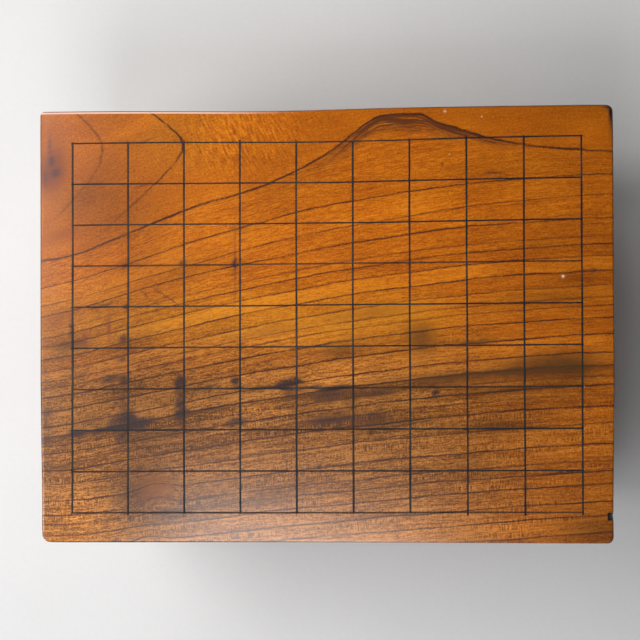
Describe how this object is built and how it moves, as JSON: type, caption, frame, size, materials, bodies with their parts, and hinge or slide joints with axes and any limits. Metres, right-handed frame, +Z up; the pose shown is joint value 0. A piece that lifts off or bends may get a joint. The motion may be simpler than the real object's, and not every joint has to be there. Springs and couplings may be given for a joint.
{
  "type": "shogi board",
  "caption": "Floor-standing shogi board: a thick varnished block scribed with a lacquered grid, on carved pod-shaped legs whose square tenons pull out of its underside.",
  "frame": {"origin": "middle of the footprint, at floor level", "axes": "+X from player to player, the long way of the block; +Y across the board; +Z up"},
  "size_m": [0.4, 0.303, 0.217],
  "materials": {
    "board_wood": "glossy varnish, worn",
    "leg_wood": "satin varnish",
    "lacquer": "worn satin"
  },
  "bodies": {
    "board": {"block": "board_wood", "file_line_1": "lacquer", "file_line_2": "lacquer", "file_line_3": "lacquer", "file_line_4": "lacquer", "file_line_5": "lacquer", "file_line_6": "lacquer", "file_line_7": "lacquer", "file_line_8": "lacquer", "file_line_9": "lacquer", "file_line_10": "lacquer", "rank_line_1": "lacquer", "rank_line_2": "lacquer", "rank_line_3": "lacquer", "rank_line_4": "lacquer", "rank_line_5": "lacquer", "rank_line_6": "lacquer", "rank_line_7": "lacquer", "rank_line_8": "lacquer", "rank_line_9": "lacquer", "rank_line_10": "lacquer"},
    "leg_front_left": {"leg_front_left": "leg_wood"},
    "leg_front_right": {"leg_front_right": "leg_wood"},
    "leg_back_left": {"leg_back_left": "leg_wood"},
    "leg_back_right": {"leg_back_right": "leg_wood"}
  },
  "joints": [
    {"name": "leg_front_left_pull", "type": "slide", "parent": "board", "child": "leg_front_left", "axis": [0, 0, -1], "range_m": [0, 0.045]},
    {"name": "leg_front_right_pull", "type": "slide", "parent": "board", "child": "leg_front_right", "axis": [0, 0, -1], "range_m": [0, 0.045]},
    {"name": "leg_back_left_pull", "type": "slide", "parent": "board", "child": "leg_back_left", "axis": [0, 0, -1], "range_m": [0, 0.045]},
    {"name": "leg_back_right_pull", "type": "slide", "parent": "board", "child": "leg_back_right", "axis": [0, 0, -1], "range_m": [0, 0.045]}
  ]
}
